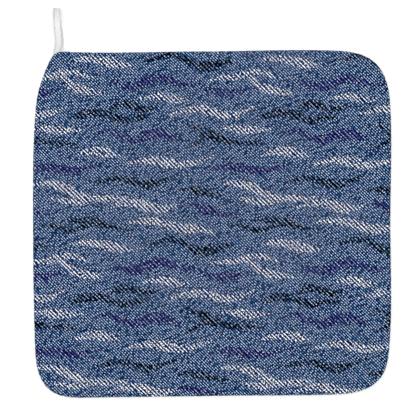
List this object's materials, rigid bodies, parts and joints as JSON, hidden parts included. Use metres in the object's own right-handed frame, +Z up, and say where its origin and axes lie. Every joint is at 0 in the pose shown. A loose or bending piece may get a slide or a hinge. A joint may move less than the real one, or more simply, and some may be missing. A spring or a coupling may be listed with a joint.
{
  "type": "hand towel",
  "caption": "Square hand towel with rounded corners, printed on one face, and a narrow ribbon loop sewn into one corner to hang it by.",
  "frame": {"origin": "middle of the towel's underside, on the surface it lies on", "axes": "+X along the towel's width, +Y along its length to the side where the hanging loop is sewn in, +Z up out of the printed face"},
  "size_m": [0.3003, 0.3264, 0.0078],
  "materials": {
    "printed_pile_cloth": "matt short pile, printed blue twill ground with wavy white, black and violet dashes",
    "satin_ribbon": "white satin weave with a soft sheen"
  },
  "bodies": {
    "root": {"towel": "printed_pile_cloth", "hanging_loop": "satin_ribbon"}
  },
  "joints": []
}
